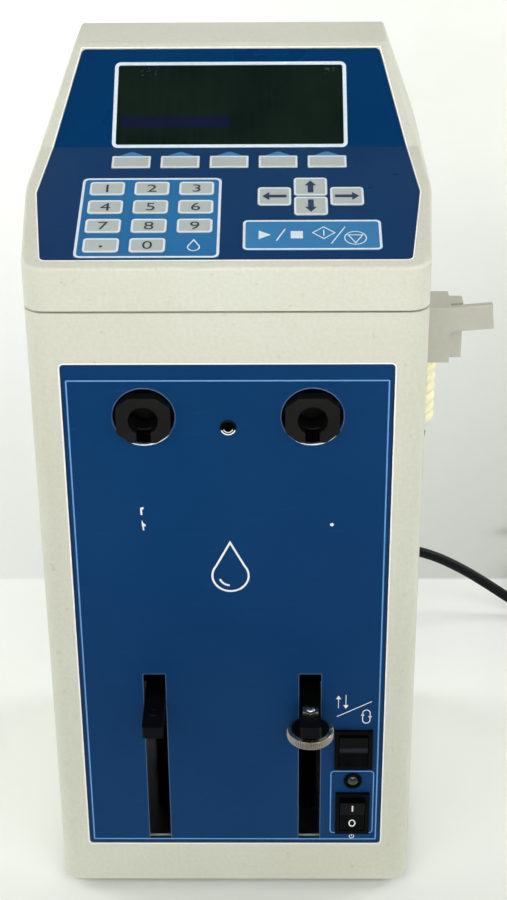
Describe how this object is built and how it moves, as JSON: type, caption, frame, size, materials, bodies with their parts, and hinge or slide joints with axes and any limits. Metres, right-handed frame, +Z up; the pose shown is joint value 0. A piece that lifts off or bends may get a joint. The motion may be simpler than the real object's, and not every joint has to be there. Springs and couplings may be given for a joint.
{
  "type": "syringe pump",
  "caption": "Bench syringe pump with twin syringe drives: slotted front with drive arms and valve sockets, sloping membrane keypad and display, side probe holder and curly lead.",
  "frame": {"origin": "on the table under the middle of the object's own box (its cords left out), between the four feet", "axes": "+Z up, +X to the right seen from the front, +Y from the front to the back"},
  "size_m": [0.3056, 0.3262, 0.335],
  "materials": {
    "case_plastic": "satin",
    "holder_plastic": "matt",
    "black_rubber": "matt",
    "blue_panel": "satin",
    "blue_overlay": "satin",
    "key_plastic": "satin",
    "window": "gloss",
    "circuit_board": "matt",
    "black_plastic": "satin",
    "black_cable": "satin",
    "cream_cable": "satin",
    "sheet_steel": "satin",
    "bright_steel": "satin",
    "motor_body": "matt"
  },
  "bodies": {
    "case": {"lower_case": "case_plastic", "head_case": "case_plastic", "probe_holder": "holder_plastic", "feet": "black_rubber", "front_panel": "blue_panel", "keypad_overlay": "blue_overlay", "display_window": "window", "keypad_board": "circuit_board", "control_board": "circuit_board", "lcd_module": "circuit_board", "left_valve_socket": "black_plastic", "right_valve_socket": "black_plastic", "prime_switch_housing": "black_plastic", "power_switch_housing": "black_plastic", "status_lamp": "black_plastic", "supply_gland": "black_plastic", "supply_plug": "black_plastic", "probe_plug": "black_plastic", "supply_cord": "black_cable", "supply_cord_coil": "black_cable", "probe_cord": "cream_cable", "probe_cord_coil": "cream_cable", "base_plate": "sheet_steel", "rear_panel": "sheet_steel", "drive_frame": "sheet_steel", "case_screws": "bright_steel", "guide_rods": "bright_steel", "centre_insert": "bright_steel", "drive_motors": "motor_body", "valve_motors": "motor_body"},
    "left_arm": {"left_drive_arm": "black_plastic"},
    "right_arm": {"right_drive_arm": "black_plastic"},
    "thumb_screw": {"plunger_thumb_screw": "bright_steel"},
    "left_screw": {"left_lead_screw": "bright_steel"},
    "right_screw": {"right_lead_screw": "bright_steel"},
    "left_coupler": {"left_valve_coupler": "bright_steel"},
    "right_coupler": {"right_valve_coupler": "bright_steel"},
    "prime_rocker": {"prime_rocker": "black_plastic"},
    "power_rocker": {"power_rocker": "black_plastic"},
    "key_1": {"key_1": "key_plastic"},
    "key_2": {"key_2": "key_plastic"},
    "key_3": {"key_3": "key_plastic"},
    "key_4": {"key_4": "key_plastic"},
    "key_5": {"key_5": "key_plastic"},
    "key_6": {"key_6": "key_plastic"},
    "key_7": {"key_7": "key_plastic"},
    "key_8": {"key_8": "key_plastic"},
    "key_9": {"key_9": "key_plastic"},
    "key_point": {"key_point": "key_plastic"},
    "key_0": {"key_0": "key_plastic"},
    "function_key_1": {"function_key_1": "key_plastic"},
    "function_key_2": {"function_key_2": "key_plastic"},
    "function_key_3": {"function_key_3": "key_plastic"},
    "function_key_4": {"function_key_4": "key_plastic"},
    "function_key_5": {"function_key_5": "key_plastic"},
    "arrow_up_key": {"arrow_up_key": "key_plastic"},
    "arrow_down_key": {"arrow_down_key": "key_plastic"},
    "arrow_left_key": {"arrow_left_key": "key_plastic"},
    "arrow_right_key": {"arrow_right_key": "key_plastic"},
    "run_stop_key": {"run_stop_key": "key_plastic"}
  },
  "joints": [
    {"name": "left_drive", "type": "slide", "parent": "case", "child": "left_arm", "axis": [0, 0, 1], "range_m": [-0.06, 0]},
    {"name": "right_drive", "type": "slide", "parent": "case", "child": "right_arm", "axis": [0, 0, 1], "range_m": [-0.06, 0]},
    {"name": "left_screw_turn", "type": "hinge", "parent": "case", "child": "left_screw", "pos_m": [-0.04806, -0.0203, 0.07], "axis": [0, 0, 1], "range_deg": [-1810, 10]},
    {"name": "right_screw_turn", "type": "hinge", "parent": "case", "child": "right_screw", "pos_m": [0.01454, -0.0203, 0.07], "axis": [0, 0, 1], "range_deg": [-1810, 10]},
    {"name": "thumb_screw_turn", "type": "hinge", "parent": "right_arm", "child": "thumb_screw", "pos_m": [0.01454, -0.0733, 0.095], "axis": [0, 0, 1], "continuous": true},
    {"name": "left_valve_turn", "type": "hinge", "parent": "case", "child": "left_coupler", "pos_m": [-0.04806, -0.0503, 0.2253], "axis": [0, -1, 0], "continuous": true},
    {"name": "right_valve_turn", "type": "hinge", "parent": "case", "child": "right_coupler", "pos_m": [0.01454, -0.0503, 0.2253], "axis": [0, -1, 0], "continuous": true},
    {"name": "prime_switch", "type": "hinge", "parent": "case", "child": "prime_rocker", "pos_m": [0.03254, -0.0621, 0.07275], "axis": [1, 0, 0], "range_deg": [-8, 8], "stiffness_Nm_per_rad": 0.2},
    {"name": "power_switch", "type": "hinge", "parent": "case", "child": "power_rocker", "pos_m": [0.03254, -0.0621, 0.03985], "axis": [1, 0, 0], "range_deg": [-16, 0]},
    {"name": "key_1_press", "type": "slide", "parent": "case", "child": "key_1", "axis": [0, 0.2588, -0.9659], "range_m": [0, 0.0005], "stiffness_N_per_m": 2000},
    {"name": "key_2_press", "type": "slide", "parent": "case", "child": "key_2", "axis": [0, 0.2588, -0.9659], "range_m": [0, 0.0005], "stiffness_N_per_m": 2000},
    {"name": "key_3_press", "type": "slide", "parent": "case", "child": "key_3", "axis": [0, 0.2588, -0.9659], "range_m": [0, 0.0005], "stiffness_N_per_m": 2000},
    {"name": "key_4_press", "type": "slide", "parent": "case", "child": "key_4", "axis": [0, 0.2588, -0.9659], "range_m": [0, 0.0005], "stiffness_N_per_m": 2000},
    {"name": "key_5_press", "type": "slide", "parent": "case", "child": "key_5", "axis": [0, 0.2588, -0.9659], "range_m": [0, 0.0005], "stiffness_N_per_m": 2000},
    {"name": "key_6_press", "type": "slide", "parent": "case", "child": "key_6", "axis": [0, 0.2588, -0.9659], "range_m": [0, 0.0005], "stiffness_N_per_m": 2000},
    {"name": "key_7_press", "type": "slide", "parent": "case", "child": "key_7", "axis": [0, 0.2588, -0.9659], "range_m": [0, 0.0005], "stiffness_N_per_m": 2000},
    {"name": "key_8_press", "type": "slide", "parent": "case", "child": "key_8", "axis": [0, 0.2588, -0.9659], "range_m": [0, 0.0005], "stiffness_N_per_m": 2000},
    {"name": "key_9_press", "type": "slide", "parent": "case", "child": "key_9", "axis": [0, 0.2588, -0.9659], "range_m": [0, 0.0005], "stiffness_N_per_m": 2000},
    {"name": "key_point_press", "type": "slide", "parent": "case", "child": "key_point", "axis": [0, 0.2588, -0.9659], "range_m": [0, 0.0005], "stiffness_N_per_m": 2000},
    {"name": "key_0_press", "type": "slide", "parent": "case", "child": "key_0", "axis": [0, 0.2588, -0.9659], "range_m": [0, 0.0005], "stiffness_N_per_m": 2000},
    {"name": "function_key_1_press", "type": "slide", "parent": "case", "child": "function_key_1", "axis": [0, 0.2588, -0.9659], "range_m": [0, 0.0005], "stiffness_N_per_m": 2000},
    {"name": "function_key_2_press", "type": "slide", "parent": "case", "child": "function_key_2", "axis": [0, 0.2588, -0.9659], "range_m": [0, 0.0005], "stiffness_N_per_m": 2000},
    {"name": "function_key_3_press", "type": "slide", "parent": "case", "child": "function_key_3", "axis": [0, 0.2588, -0.9659], "range_m": [0, 0.0005], "stiffness_N_per_m": 2000},
    {"name": "function_key_4_press", "type": "slide", "parent": "case", "child": "function_key_4", "axis": [0, 0.2588, -0.9659], "range_m": [0, 0.0005], "stiffness_N_per_m": 2000},
    {"name": "function_key_5_press", "type": "slide", "parent": "case", "child": "function_key_5", "axis": [0, 0.2588, -0.9659], "range_m": [0, 0.0005], "stiffness_N_per_m": 2000},
    {"name": "arrow_up_key_press", "type": "slide", "parent": "case", "child": "arrow_up_key", "axis": [0, 0.2588, -0.9659], "range_m": [0, 0.0005], "stiffness_N_per_m": 2000},
    {"name": "arrow_down_key_press", "type": "slide", "parent": "case", "child": "arrow_down_key", "axis": [0, 0.2588, -0.9659], "range_m": [0, 0.0005], "stiffness_N_per_m": 2000},
    {"name": "arrow_left_key_press", "type": "slide", "parent": "case", "child": "arrow_left_key", "axis": [0, 0.2588, -0.9659], "range_m": [0, 0.0005], "stiffness_N_per_m": 2000},
    {"name": "arrow_right_key_press", "type": "slide", "parent": "case", "child": "arrow_right_key", "axis": [0, 0.2588, -0.9659], "range_m": [0, 0.0005], "stiffness_N_per_m": 2000},
    {"name": "run_stop_key_press", "type": "slide", "parent": "case", "child": "run_stop_key", "axis": [0, 0.2588, -0.9659], "range_m": [0, 0.0005], "stiffness_N_per_m": 2000}
  ],
  "couplings": [
    {"joint": "left_screw_turn", "follows": "left_drive", "rad_per_m": 523.6},
    {"joint": "right_screw_turn", "follows": "right_drive", "rad_per_m": 523.6}
  ]
}
